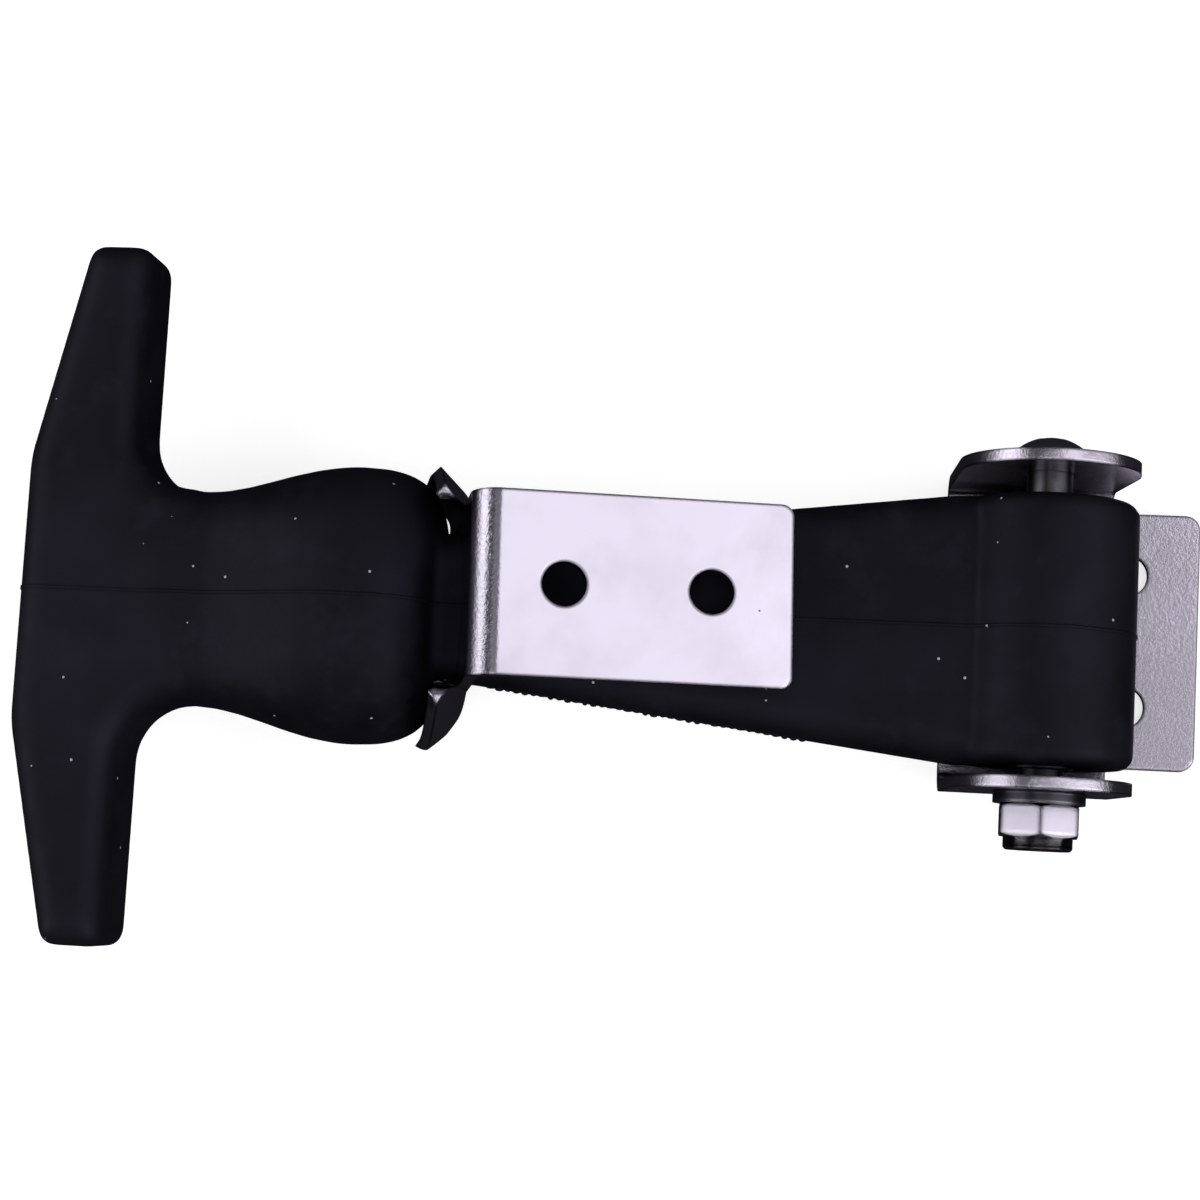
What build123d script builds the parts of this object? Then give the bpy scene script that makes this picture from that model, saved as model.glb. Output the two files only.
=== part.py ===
from build123d import *

import os
from math import cos, pi, radians, sin, tan

# Rubber T draw latch: a moulded rubber T-handle on a pivot bolt, its folded base bracket,
# and the keeper that hangs on the handle's neck. Millimetres, +Z up, the base plate on z = 0.
# The origin is the centre of the base plate's two mounting holes, on the plate's underside.
# The handle points along -X and the pivot bolt lies along Y.

os.makedirs("parts", exist_ok=True)

# ---------------------------------------------------------------- driving dimensions
# Sheet metal
base_sheet = 1.6
keeper_sheet = 1.6

# Pivot bolt, nut and washer
bolt_diameter = 6.0
bolt_length = 50.0
head_diameter = 11.0
head_height = 3.3
socket_across_flats = 4.0
socket_depth = 2.0
bolt_end_chamfer = 0.6
washer_diameter = 12.0
washer_thickness = 1.6
nut_across_flats = 10.0
nut_height = 6.0
nut_collar_diameter = 9.0
nut_collar_height = 1.7
nut_collar_lip = 0.35
insert_height = 1.5
hardware_clearance = 0.2

# Base bracket
pivot_height = 15.5
pivot_setback = 11.6
ear_gap = 40.2
ear_radius = 11.8
ear_bend_radius = 1.2
web_to_handle = 13.0
web_to_tab = 9.2
tab_reach = 9.6
tab_width = 34.8
tab_corner_radius = 2.0
base_hole_diameter = 5.5
base_hole_spacing = 18.0

# Rubber handle, measured from the pivot axis along the handle
eye_diameter = 23.6
eye_width = 34.8
eye_edge_chamfer = 1.2
sleeve_wall = 1.1
sleeve_clearance = 0.08
sleeve_proud = 0.3
eye_slide = 1.1
strap_depth = 15.0
strap_edge_radius = 3.6
strap_root = 12.0
neck_reach = 80.3
neck_length = 5.0
neck_width = 19.8
neck_depth = 12.4
neck_edge_radius = 4.0
shoulder_length = 11.2
bulb_width = 37.4
bulb_depth = 30.8
bulb_squareness = 2.15
shoulder_squareness = 2.6
waist_reach = 113.4
waist_width = 28.8
waist_depth = 18.0
waist_squareness = 3.0
hub_squareness = 4.5
grip_inner_reach = 122.0
grip_back_reach = 137.0
grip_span = 95.0
grip_flat_back = 36.0
grip_tip_thickness = 8.5
grip_depth = 16.0
grip_edge_radius = 4.0
grip_root_radius = 8.0
grip_tip_radius = 2.0
grip_back_radius = 14.0

# Keeper, hung on the neck
keeper_tilt = 15.0
keeper_roll = 4.0
keeper_yaw = 2.0
keeper_slack = 1.9
flange_length = 41.5
flange_width = 24.0
flange_corner_radius = 1.6
flange_bend_radius = 2.2
keeper_hole_diameter = 5.8
keeper_hole_spacing = 19.0
keeper_hole_edge = 10.6
slot_clearance = 0.9
fork_rise = 11.6
fork_seat = 2.2
fork_outer_radius = 19.0
fork_leg = 10.0
flare_angle = 46.0
flare_bend_radius = 2.5
neck_rest_gap = 0.6

# ---------------------------------------------------------------- worked-out places
pivot_x = -pivot_setback
ear_outer = ear_gap / 2 + base_sheet
eye_y = -eye_slide
hole_for_bolt = bolt_diameter + 2 * hardware_clearance
sleeve_bore = bolt_diameter + 2 * sleeve_clearance
sleeve_diameter = sleeve_bore + 2 * sleeve_wall


def handle_section(reach):
    """The plane across the handle at a distance from the pivot axis."""
    return Plane(origin=(pivot_x - reach, eye_y, pivot_height), x_dir=(0, 1, 0), z_dir=(1, 0, 0))


def side_plane(y):
    """The plane square to the pivot bolt at y, its x along +X and its y along +Z."""
    return Plane(origin=(pivot_x, y, pivot_height), x_dir=(1, 0, 0), z_dir=(0, -1, 0))


# ---------------------------------------------------------------- base bracket
# One folded sheet: a web on the mounting surface, an ear folded up at each side and a
# narrower tab past the ears that carries the two mounting holes.
ear_foot = -pivot_height

with BuildPart() as base_bracket:
    with BuildSketch(Plane.YZ.offset(pivot_x - web_to_handle)) as channel:
        Rectangle(2 * ear_outer, pivot_height + ear_radius, align=(Align.CENTER, Align.MIN))
        foot_corners = channel.vertices().group_by(Axis.Y)[0]
        fillet(foot_corners, ear_bend_radius + base_sheet)
        with BuildSketch(Plane.XY, mode=Mode.PRIVATE) as hollow:
            with Locations((0, base_sheet)):
                Rectangle(ear_gap, pivot_height + ear_radius, align=(Align.CENTER, Align.MIN))
            fillet(hollow.vertices().group_by(Axis.Y)[0], ear_bend_radius)
        add(hollow.sketch, mode=Mode.SUBTRACT)
    extrude(amount=web_to_handle + ear_radius)
    with BuildSketch(side_plane(ear_outer)) as ear_outline:
        with BuildLine() as ear_edges:
            Line((-web_to_handle, ear_foot), (web_to_tab, ear_foot))
            CenterArc((0, 0), ear_radius, 0, 360)
        make_hull(ear_edges.edges())
    extrude(amount=2 * ear_outer, mode=Mode.INTERSECT)
    with BuildSketch(Plane.XY) as tab:
        with Locations((pivot_x, 0)):
            Rectangle(pivot_setback + tab_reach, tab_width, align=(Align.MIN, Align.CENTER))
        fillet(tab.vertices().group_by(Axis.X)[-1], tab_corner_radius)
    extrude(amount=base_sheet)
    with Locations((0, 0, base_sheet)):
        with GridLocations(0, base_hole_spacing, 1, 2):
            Hole(base_hole_diameter / 2)
    with BuildSketch(side_plane(ear_outer)):
        Circle(hole_for_bolt / 2)
    extrude(amount=2 * ear_outer, mode=Mode.SUBTRACT)

# ---------------------------------------------------------------- pivot bolt
# A dome-headed screw with a hexagon socket, its head on the +Y ear.
dome_rim = 0.5
dome_rise = head_height - dome_rim
dome_radius = ((head_diameter / 2) ** 2 + dome_rise**2) / (2 * dome_rise)
dome_middle = head_diameter / 4
dome_middle_rise = head_height - dome_radius + (dome_radius**2 - dome_middle**2) ** 0.5

with BuildPart() as pivot_bolt:
    with BuildSketch(side_plane(ear_outer)) as shank:
        Circle(bolt_diameter / 2)
    extrude(amount=bolt_length)
    chamfer(pivot_bolt.edges().group_by(Axis.Y)[0], bolt_end_chamfer)
    with BuildSketch(Plane(origin=(pivot_x, ear_outer, pivot_height), x_dir=(1, 0, 0), z_dir=(0, 0, 1))):
        with BuildLine():
            Line((0, 0), (head_diameter / 2, 0))
            Line((head_diameter / 2, 0), (head_diameter / 2, dome_rim))
            ThreePointArc(
                (head_diameter / 2, dome_rim), (dome_middle, dome_middle_rise), (0, head_height)
            )
            Line((0, head_height), (0, 0))
        make_face()
    revolve(axis=Axis((pivot_x, ear_outer, pivot_height), (0, 1, 0)))
    with BuildSketch(side_plane(ear_outer + head_height)):
        RegularPolygon(socket_across_flats / 2, 6, major_radius=False)
    extrude(amount=socket_depth, mode=Mode.SUBTRACT)

# ---------------------------------------------------------------- washer, lock nut and its insert
with BuildPart() as flat_washer:
    with BuildSketch(side_plane(-ear_outer)):
        Circle(washer_diameter / 2)
        Circle(hole_for_bolt / 2, mode=Mode.SUBTRACT)
    extrude(amount=washer_thickness)

nut_face = -ear_outer - washer_thickness
nut_corner = nut_across_flats / 2 / cos(pi / 6)
nut_hex_height = nut_height - nut_collar_height
corner_drop = (nut_corner - nut_across_flats / 2) * tan(radians(30))
insert_outer = nut_collar_diameter / 2 - nut_collar_lip

with BuildPart() as lock_nut:
    with BuildSketch(side_plane(nut_face)):
        RegularPolygon(nut_across_flats / 2, 6, rotation=30, major_radius=False)
    extrude(amount=nut_hex_height)
    with BuildSketch(Plane(origin=(pivot_x, nut_face, pivot_height), x_dir=(1, 0, 0), z_dir=(0, 0, -1))):
        with BuildLine():
            Polyline(
                (0, 0),
                (nut_across_flats / 2, 0),
                (nut_corner, corner_drop),
                (nut_corner, nut_hex_height - corner_drop),
                (nut_across_flats / 2, nut_hex_height),
                (0, nut_hex_height),
                close=True,
            )
        make_face()
    revolve(axis=Axis((pivot_x, nut_face, pivot_height), (0, 1, 0)), mode=Mode.INTERSECT)
    with BuildSketch(side_plane(nut_face - nut_hex_height)):
        Circle(nut_collar_diameter / 2)
    extrude(amount=nut_collar_height)
    chamfer(lock_nut.edges().group_by(Axis.Y)[0], nut_collar_lip)
    with BuildSketch(side_plane(nut_face)):
        Circle(bolt_diameter / 2)
    extrude(amount=nut_height, mode=Mode.SUBTRACT)
    with BuildSketch(side_plane(nut_face - nut_height + insert_height)):
        Circle(insert_outer)
    extrude(amount=insert_height, mode=Mode.SUBTRACT)

with BuildPart() as nylon_insert:
    with BuildSketch(side_plane(nut_face - nut_height + insert_height)):
        Circle(insert_outer)
        Circle(bolt_diameter / 2, mode=Mode.SUBTRACT)
    extrude(amount=insert_height - nut_collar_lip / 2)

# ---------------------------------------------------------------- pivot sleeve
# The steel bush moulded into the eye, which turns on the bolt.
with BuildPart() as pivot_sleeve:
    with BuildSketch(side_plane(eye_y + eye_width / 2 + sleeve_proud)):
        Circle(sleeve_diameter / 2)
        Circle(sleeve_bore / 2, mode=Mode.SUBTRACT)
    extrude(amount=eye_width + 2 * sleeve_proud)

# ---------------------------------------------------------------- rubber T-handle
# One moulding: the eye round the sleeve, the tapering strap, the bulb that the keeper
# holds, the waist, and the T grip. Sections across the bulb are superellipses, which run
# from nearly square at the grip to oval at the bulb and back to the strap's flat section.
bulb_reach = neck_reach + shoulder_length
waist_to_bulb = waist_reach - bulb_reach
hub_reach = (grip_inner_reach + grip_back_reach) / 2
rise_shares = (0.15, 0.3, 0.45, 0.6, 0.75, 0.9)
shoulder_turns = (0, 14, 28, 42, 55, 67, 78, 86)
outline_points = 12


def blend(start, end, share):
    """A value between start and end that leaves and arrives level."""
    return start + (end - start) * (1 - cos(pi * share)) / 2


def oval(width, depth, squareness):
    """One closed superellipse: 2 is an ellipse and a larger squareness is nearer a box."""
    points = []
    for index in range(outline_points):
        turn = 2 * pi * (index + 0.5) / outline_points
        across, up = cos(turn), sin(turn)
        reach = (abs(across) ** squareness + abs(up) ** squareness) ** (-1 / squareness)
        points.append((width / 2 * across * reach, depth / 2 * up * reach))
    with BuildSketch() as section:
        with BuildLine():
            Spline(*points, periodic=True)
        make_face()
    return section.sketch


bulb_sections = [(hub_reach, waist_width, grip_depth, hub_squareness)]
bulb_sections.append((grip_inner_reach, waist_width, grip_depth, hub_squareness))
bulb_sections.append((waist_reach, waist_width, waist_depth, waist_squareness))
for share in rise_shares:
    bulb_sections.append(
        (
            waist_reach - waist_to_bulb * share,
            blend(waist_width, bulb_width, share),
            blend(waist_depth, bulb_depth, share),
            blend(waist_squareness, bulb_squareness, share),
        )
    )
for turn in shoulder_turns:
    fall = cos(radians(turn)) ** (2 / shoulder_squareness)
    slide = sin(radians(turn)) ** (2 / shoulder_squareness)
    bulb_sections.append(
        (
            bulb_reach - shoulder_length * slide,
            neck_width + (bulb_width - neck_width) * fall,
            neck_depth + (bulb_depth - neck_depth) * fall,
            bulb_squareness,
        )
    )

grip_plane = Plane(origin=(pivot_x, eye_y, pivot_height - grip_depth / 2), z_dir=(0, 0, 1))
grip_back_x = pivot_x - grip_back_reach
grip_inner_x = pivot_x - grip_inner_reach
waist_x = pivot_x - waist_reach
match_margin = 0.01

with BuildPart() as t_handle:
    # The eye.
    with BuildSketch(side_plane(eye_y + eye_width / 2)):
        Circle(eye_diameter / 2)
    extrude(amount=eye_width)
    chamfer(t_handle.edges().filter_by(GeomType.CIRCLE), eye_edge_chamfer)
    # The grip: a plan outline, its upright corners rounded, then its rims.
    with BuildSketch(grip_plane):
        with BuildLine():
            Polyline(
                (-grip_back_reach, 0),
                (-grip_back_reach, grip_flat_back / 2),
                (-grip_inner_reach - grip_tip_thickness, grip_span / 2),
                (-grip_inner_reach, grip_span / 2),
                (-grip_inner_reach, waist_width / 2),
                (-waist_reach, waist_width / 2),
                (-waist_reach, 0),
            )
            mirror(about=Plane.XZ)
        make_face()
    extrude(amount=grip_depth)
    uprights = t_handle.edges().filter_by(Axis.Z)
    fillet(uprights.filter_by(lambda e: abs(e.center().X - grip_back_x) < match_margin), grip_back_radius)
    uprights = t_handle.edges().filter_by(Axis.Z)
    roots = uprights.filter_by(lambda e: abs(e.center().X - grip_inner_x) < match_margin)
    fillet(roots.sort_by(lambda e: abs(e.center().Y - eye_y))[:2], grip_root_radius)
    uprights = t_handle.edges().filter_by(Axis.Z)
    fillet(uprights.sort_by(lambda e: abs(e.center().Y - eye_y))[-4:], grip_tip_radius)
    rims = t_handle.faces().filter_by(Axis.Z).edges()
    fillet(rims.filter_by(lambda e: e.center().X < waist_x - match_margin), grip_edge_radius)
    # The bulb, from inside the grip to the shoulder that the keeper bears on.
    for reach, width, depth, squareness in bulb_sections:
        with BuildSketch(handle_section(reach)):
            add(oval(width, depth, squareness))
    loft(ruled=True)
    # The neck and the tapering strap.
    with BuildSketch(handle_section(bulb_reach)):
        RectangleRounded(neck_width, neck_depth, neck_edge_radius)
    extrude(amount=shoulder_length + neck_length)
    with BuildSketch(handle_section(neck_reach - neck_length)):
        Rectangle(neck_width, neck_depth)
    with BuildSketch(handle_section(strap_root)):
        Rectangle(eye_width, strap_depth)
    wedge = loft(ruled=True, mode=Mode.PRIVATE)
    taper = wedge.fillet(strap_edge_radius, wedge.edges().sort_by(SortBy.LENGTH)[-4:])
    add(taper)
    extrude(taper.faces().sort_by(Axis.X)[-1], amount=strap_root)
    # The bore that holds the sleeve.
    with BuildSketch(side_plane(eye_y + eye_width / 2)):
        Circle(sleeve_diameter / 2)
    extrude(amount=eye_width, mode=Mode.SUBTRACT)

# ---------------------------------------------------------------- keeper
# One pressed sheet: a drilled flange, a bend, and a fork whose U-shaped slot hangs over the
# neck. The fork's rim flares into a dish that cups the bulb's shoulder. The keeper hangs
# loose, so it is tilted until its flange lies on the strap, and rolled a little to one side.
tilt = radians(keeper_tilt)
roll = radians(keeper_roll)
along = Vector(cos(tilt), -sin(tilt) * sin(roll), -sin(tilt) * cos(roll)).rotate(Axis.Z, keeper_yaw)
across = Vector(0, cos(roll), -sin(roll)).rotate(Axis.Z, keeper_yaw)
fork_up = along.cross(across)
slot_radius = neck_width / 2 + slot_clearance
slot_gap_room = slot_radius - neck_edge_radius - neck_rest_gap
slot_drop = (slot_gap_room**2 - (neck_width / 2 - neck_edge_radius) ** 2) ** 0.5
slot_drop = slot_drop - (neck_depth / 2 - neck_edge_radius) / cos(tilt)
slot_centre = Vector(pivot_x - neck_reach + keeper_slack, eye_y, pivot_height - slot_drop)
corner_height = slot_radius + fork_rise
flare = radians(flare_angle)
flare_start = slot_radius + fork_seat
flare_outer = flare_bend_radius + keeper_sheet
lip_length = (fork_outer_radius - flare_start - flare_outer * sin(flare)) / cos(flare)


def keeper_point(u, v, w):
    """A point on the keeper: u along the flange, v across it and w up the fork."""
    return slot_centre + along * u + across * v + fork_up * w


def lip_section(side):
    """The fork's section from the slot's edge to the flared rim, on one side of the slot."""
    bend_left = -flare_bend_radius + flare_bend_radius * cos(flare)
    bend_right = -flare_bend_radius + flare_outer * cos(flare)
    seat = flare_start + flare_bend_radius * sin(flare)
    back = flare_start + flare_outer * sin(flare)
    rim_left = (bend_left - lip_length * sin(flare), side * (seat + lip_length * cos(flare)))
    rim_right = (bend_right - lip_length * sin(flare), side * (back + lip_length * cos(flare)))
    half_left = -flare_bend_radius * (1 - cos(flare / 2))
    half_right = -flare_bend_radius + flare_outer * cos(flare / 2)
    with BuildSketch() as section:
        with BuildLine():
            Line((keeper_sheet, side * slot_radius), (0, side * slot_radius))
            Line((0, side * slot_radius), (0, side * flare_start))
            ThreePointArc(
                (0, side * flare_start),
                (half_left, side * (flare_start + flare_bend_radius * sin(flare / 2))),
                (bend_left, side * seat),
            )
            Line((bend_left, side * seat), rim_left)
            Line(rim_left, rim_right)
            Line(rim_right, (bend_right, side * back))
            ThreePointArc(
                (bend_right, side * back),
                (half_right, side * (flare_start + flare_outer * sin(flare / 2))),
                (keeper_sheet, side * flare_start),
            )
            Line((keeper_sheet, side * flare_start), (keeper_sheet, side * slot_radius))
        make_face()
    return section.sketch


lip_plane = Plane(origin=slot_centre, x_dir=along, z_dir=fork_up)
front_plane = Plane(origin=keeper_point(-fork_outer_radius, 0, 0), x_dir=across, z_dir=along)
flange_side = Plane(origin=keeper_point(0, flange_width / 2, 0), x_dir=along, z_dir=-across)
flange_top = Plane(origin=keeper_point(0, 0, corner_height), x_dir=along, z_dir=fork_up)

with BuildPart() as keeper_bracket:
    with BuildSketch(lip_plane):
        add(lip_section(1))
    revolve(axis=Axis(slot_centre, along), revolution_arc=180)
    for side in (1, -1):
        with BuildSketch(lip_plane):
            add(lip_section(side))
        extrude(amount=-fork_leg)
    with BuildSketch(front_plane):
        Rectangle(flange_width, fork_outer_radius, align=(Align.CENTER, Align.MIN))
    extrude(amount=2 * fork_outer_radius, mode=Mode.SUBTRACT)
    with BuildSketch(flange_side) as angle:
        with BuildLine():
            Polyline(
                (0, 0),
                (0, corner_height),
                (flange_length, corner_height),
                (flange_length, corner_height - keeper_sheet),
                (keeper_sheet, corner_height - keeper_sheet),
                (keeper_sheet, 0),
                close=True,
            )
        make_face()
    extrude(amount=flange_width)
    bend_edges = keeper_bracket.edges().filter_by(lambda e: abs(e.length - flange_width) < match_margin)
    outer_edge = bend_edges.sort_by_distance(keeper_point(0, 0, corner_height))[0]
    fillet(outer_edge, flange_bend_radius + keeper_sheet)
    bend_edges = keeper_bracket.edges().filter_by(lambda e: abs(e.length - flange_width) < match_margin)
    inner_corner = keeper_point(keeper_sheet, 0, corner_height - keeper_sheet)
    inner_edge = bend_edges.sort_by_distance(inner_corner)[0]
    fillet(inner_edge, flange_bend_radius)
    tip_point = keeper_point(flange_length, 0, corner_height - keeper_sheet / 2)
    tip_edges = keeper_bracket.edges().filter_by(lambda e: abs(e.length - keeper_sheet) < match_margin)
    fillet(tip_edges.sort_by_distance(tip_point)[:2], flange_corner_radius)
    with BuildSketch(front_plane):
        Circle(slot_radius)
        Rectangle(2 * slot_radius, 2 * fork_outer_radius, align=(Align.CENTER, Align.MAX))
    extrude(amount=2 * fork_outer_radius, mode=Mode.SUBTRACT)
    with BuildSketch(flange_top):
        with Locations(
            (flange_length - keeper_hole_edge, 0),
            (flange_length - keeper_hole_edge - keeper_hole_spacing, 0),
        ):
            Circle(keeper_hole_diameter / 2)
    extrude(amount=-2 * keeper_sheet, mode=Mode.SUBTRACT)

# ---------------------------------------------------------------- files, one for each piece
pieces = {
    "base_bracket": base_bracket,
    "pivot_bolt": pivot_bolt,
    "flat_washer": flat_washer,
    "lock_nut": lock_nut,
    "nylon_insert": nylon_insert,
    "pivot_sleeve": pivot_sleeve,
    "t_handle": t_handle,
    "keeper_bracket": keeper_bracket,
}
for name, piece in pieces.items():
    piece.part.label = name
    export_step(piece.part, "parts/" + name + ".step")
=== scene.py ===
"""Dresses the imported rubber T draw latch: its rubber moulding, plated brackets and pivot hardware."""

import logging
from collections.abc import Callable
from dataclasses import dataclass, field
from enum import Enum
from math import cos, pi, radians, sin
from typing import Any

import bmesh
import bpy
from mathutils import Euler, Matrix, Vector


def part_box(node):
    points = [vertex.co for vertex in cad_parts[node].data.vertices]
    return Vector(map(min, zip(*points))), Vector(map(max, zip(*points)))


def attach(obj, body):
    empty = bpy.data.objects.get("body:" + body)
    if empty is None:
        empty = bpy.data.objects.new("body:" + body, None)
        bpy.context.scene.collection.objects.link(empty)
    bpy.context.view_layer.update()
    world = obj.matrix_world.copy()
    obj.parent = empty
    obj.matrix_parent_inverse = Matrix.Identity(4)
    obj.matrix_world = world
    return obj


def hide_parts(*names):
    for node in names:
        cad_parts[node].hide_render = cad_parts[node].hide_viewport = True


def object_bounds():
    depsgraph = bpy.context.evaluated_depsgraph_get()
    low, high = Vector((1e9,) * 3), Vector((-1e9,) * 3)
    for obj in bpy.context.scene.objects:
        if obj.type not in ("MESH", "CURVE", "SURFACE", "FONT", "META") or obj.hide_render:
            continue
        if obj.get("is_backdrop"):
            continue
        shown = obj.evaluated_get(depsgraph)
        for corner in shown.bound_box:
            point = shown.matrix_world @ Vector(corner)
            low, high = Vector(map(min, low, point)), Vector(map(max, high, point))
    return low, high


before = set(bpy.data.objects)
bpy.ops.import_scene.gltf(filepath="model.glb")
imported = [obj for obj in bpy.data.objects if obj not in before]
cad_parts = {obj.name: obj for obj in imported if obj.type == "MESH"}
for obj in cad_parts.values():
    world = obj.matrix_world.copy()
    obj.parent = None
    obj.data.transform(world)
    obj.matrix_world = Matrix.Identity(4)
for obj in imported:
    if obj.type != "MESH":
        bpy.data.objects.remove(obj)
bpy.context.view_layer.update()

MM = 0.001
LOG = logging.getLogger("t_draw_latch")


# ------------------------------------------------------------------ small helpers
def linear(hex_colour: str) -> tuple[float, float, float, float]:
    """Turns an sRGB hex value into linear light.

    Args:
        hex_colour: six hex digits, with or without a leading #.

    Returns:
        Red, green, blue and an alpha of 1.
    """
    digits = hex_colour.lstrip("#")
    levels = [int(digits[i : i + 2], 16) / 255 for i in (0, 2, 4)]
    light = [v / 12.92 if v <= 0.04045 else ((v + 0.055) / 1.055) ** 2.4 for v in levels]
    return (light[0], light[1], light[2], 1.0)


def add_node(tree: bpy.types.NodeTree, kind: str, inputs: dict | None = None, **settings: Any) -> Any:
    """Adds one node, with its settings and its input values or links.

    Args:
        tree: the node tree that gets the node.
        kind: the node's type name.
        inputs: each input's name or index, with a value or the socket to link from.
        settings: the node's own properties.

    Returns:
        The new node.
    """
    node = tree.nodes.new(kind)
    for name, value in settings.items():
        setattr(node, name, value)
    for key, value in (inputs or {}).items():
        if isinstance(value, bpy.types.NodeSocket):
            tree.links.new(value, node.inputs[key])
        else:
            node.inputs[key].default_value = value
    return node


def per_mm(size_mm: float) -> float:
    """The texture scale that makes a pattern's cell size_mm across."""
    return 1.0 / (size_mm * MM)


def ramp(tree: bpy.types.NodeTree, fac: Any, stops: list[tuple[float, Any]]) -> Any:
    """Adds a colour ramp and returns its colour socket.

    Args:
        tree: the node tree.
        fac: the socket that drives the ramp.
        stops: each stop's place and its grey level or colour.

    Returns:
        The ramp's colour output.
    """
    node = add_node(tree, "ShaderNodeValToRGB", {"Fac": fac})
    band = node.color_ramp
    while len(band.elements) < len(stops):
        band.elements.new(0.5)
    for element, (place, shade) in zip(band.elements, stops):
        element.position = place
        element.color = shade if isinstance(shade, tuple) else (shade, shade, shade, 1.0)
    return node.outputs["Color"]


def noise(tree: bpy.types.NodeTree, place: Any, size_mm: float, detail: float, **more: Any) -> Any:
    """Adds a noise pattern and returns its level.

    Args:
        tree: the node tree.
        place: the coordinates' socket.
        size_mm: how large the pattern's cells are.
        detail: how many finer layers it has.
        more: any other inputs, by name.

    Returns:
        The level's socket.
    """
    inputs = {"Vector": place, "Scale": per_mm(size_mm), "Detail": detail, **more}
    return add_node(tree, "ShaderNodeTexNoise", inputs).outputs["Fac"]


def reckon(tree: bpy.types.NodeTree, operation: str, first: Any, second: Any) -> Any:
    """Adds one sum on two levels and returns its socket."""
    return add_node(tree, "ShaderNodeMath", {0: first, 1: second}, operation=operation).outputs[0]


def blend(tree: bpy.types.NodeTree, factor: Any, first: Any, second: Any, kind: str = "MIX") -> Any:
    """Mixes two colours, each a socket or a colour, and returns the result's socket."""
    inputs = {"Factor": factor, 6: first, 7: second}
    return add_node(tree, "ShaderNodeMix", inputs, data_type="RGBA", blend_type=kind).outputs[2]


def relief(tree: bpy.types.NodeTree, height: Any, strength: Any, depth_mm: float, under: Any = None) -> Any:
    """Turns a pattern into surface relief.

    Args:
        tree: the node tree.
        height: the pattern's level.
        strength: how much of the relief is felt, 0 to 1.
        depth_mm: how deep the pattern is.
        under: the normal that the relief lies on, if not the surface's own.

    Returns:
        The normal's socket.
    """
    inputs = {"Height": height, "Strength": strength, "Distance": depth_mm * MM}
    if under is not None:
        inputs["Normal"] = under
    return add_node(tree, "ShaderNodeBump", inputs).outputs["Normal"]


def specks(tree: bpy.types.NodeTree, place: Any, spacing_mm: float, radius: float, bare: float) -> Any:
    """Adds sparse dots: only some cells of a Voronoi pattern carry one.

    Args:
        tree: the node tree.
        place: the coordinates' socket.
        spacing_mm: how far apart the cells lie.
        radius: a dot's radius, as a share of the spacing.
        bare: the share of the cells that carry no dot.

    Returns:
        The socket of a level that is 1 on the dots and 0 elsewhere.
    """
    cells = add_node(tree, "ShaderNodeTexVoronoi", {"Vector": place, "Scale": per_mm(spacing_mm)})
    pick = add_node(tree, "ShaderNodeSeparateColor", {"Color": cells.outputs["Color"]})
    near = reckon(tree, "LESS_THAN", cells.outputs["Distance"], radius)
    some = reckon(tree, "GREATER_THAN", pick.outputs[0], bare)
    return reckon(tree, "MULTIPLY", near, some)


def new_surface(name: str) -> tuple[bpy.types.Material, bpy.types.NodeTree, Any, Any]:
    """Starts a node material.

    Args:
        name: the finish's name.

    Returns:
        The material, its node tree, its shader and the socket of the piece's own coordinates.
    """
    made = bpy.data.materials.new(name)
    made.use_nodes = True
    tree = made.node_tree
    place = add_node(tree, "ShaderNodeTexCoord").outputs["Object"]
    return made, tree, tree.nodes["Principled BSDF"], place


def link_object(name: str, data: bpy.types.ID) -> bpy.types.Object:
    """Makes an object for the data and puts it in the scene."""
    made = bpy.data.objects.new(name, data)
    bpy.context.scene.collection.objects.link(made)
    return made


# ------------------------------------------------------------------ finishes
class Polish(Enum):
    """How the zinc plating on a piece came out."""

    MIRROR = "mirror"
    GRAINED = "grained"
    SATIN = "satin"


@dataclass(frozen=True)
class PolishLevels:
    """The roughness that a polish runs between, and how strong its ripple and grain are."""

    low: float
    high: float
    ripple: float
    grain: float


POLISH_LEVELS = {
    Polish.MIRROR: PolishLevels(low=0.07, high=0.13, ripple=0.05, grain=0.03),
    Polish.GRAINED: PolishLevels(low=0.14, high=0.24, ripple=0.1, grain=0.55),
    Polish.SATIN: PolishLevels(low=0.26, high=0.4, ripple=0.05, grain=0.08),
}


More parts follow.
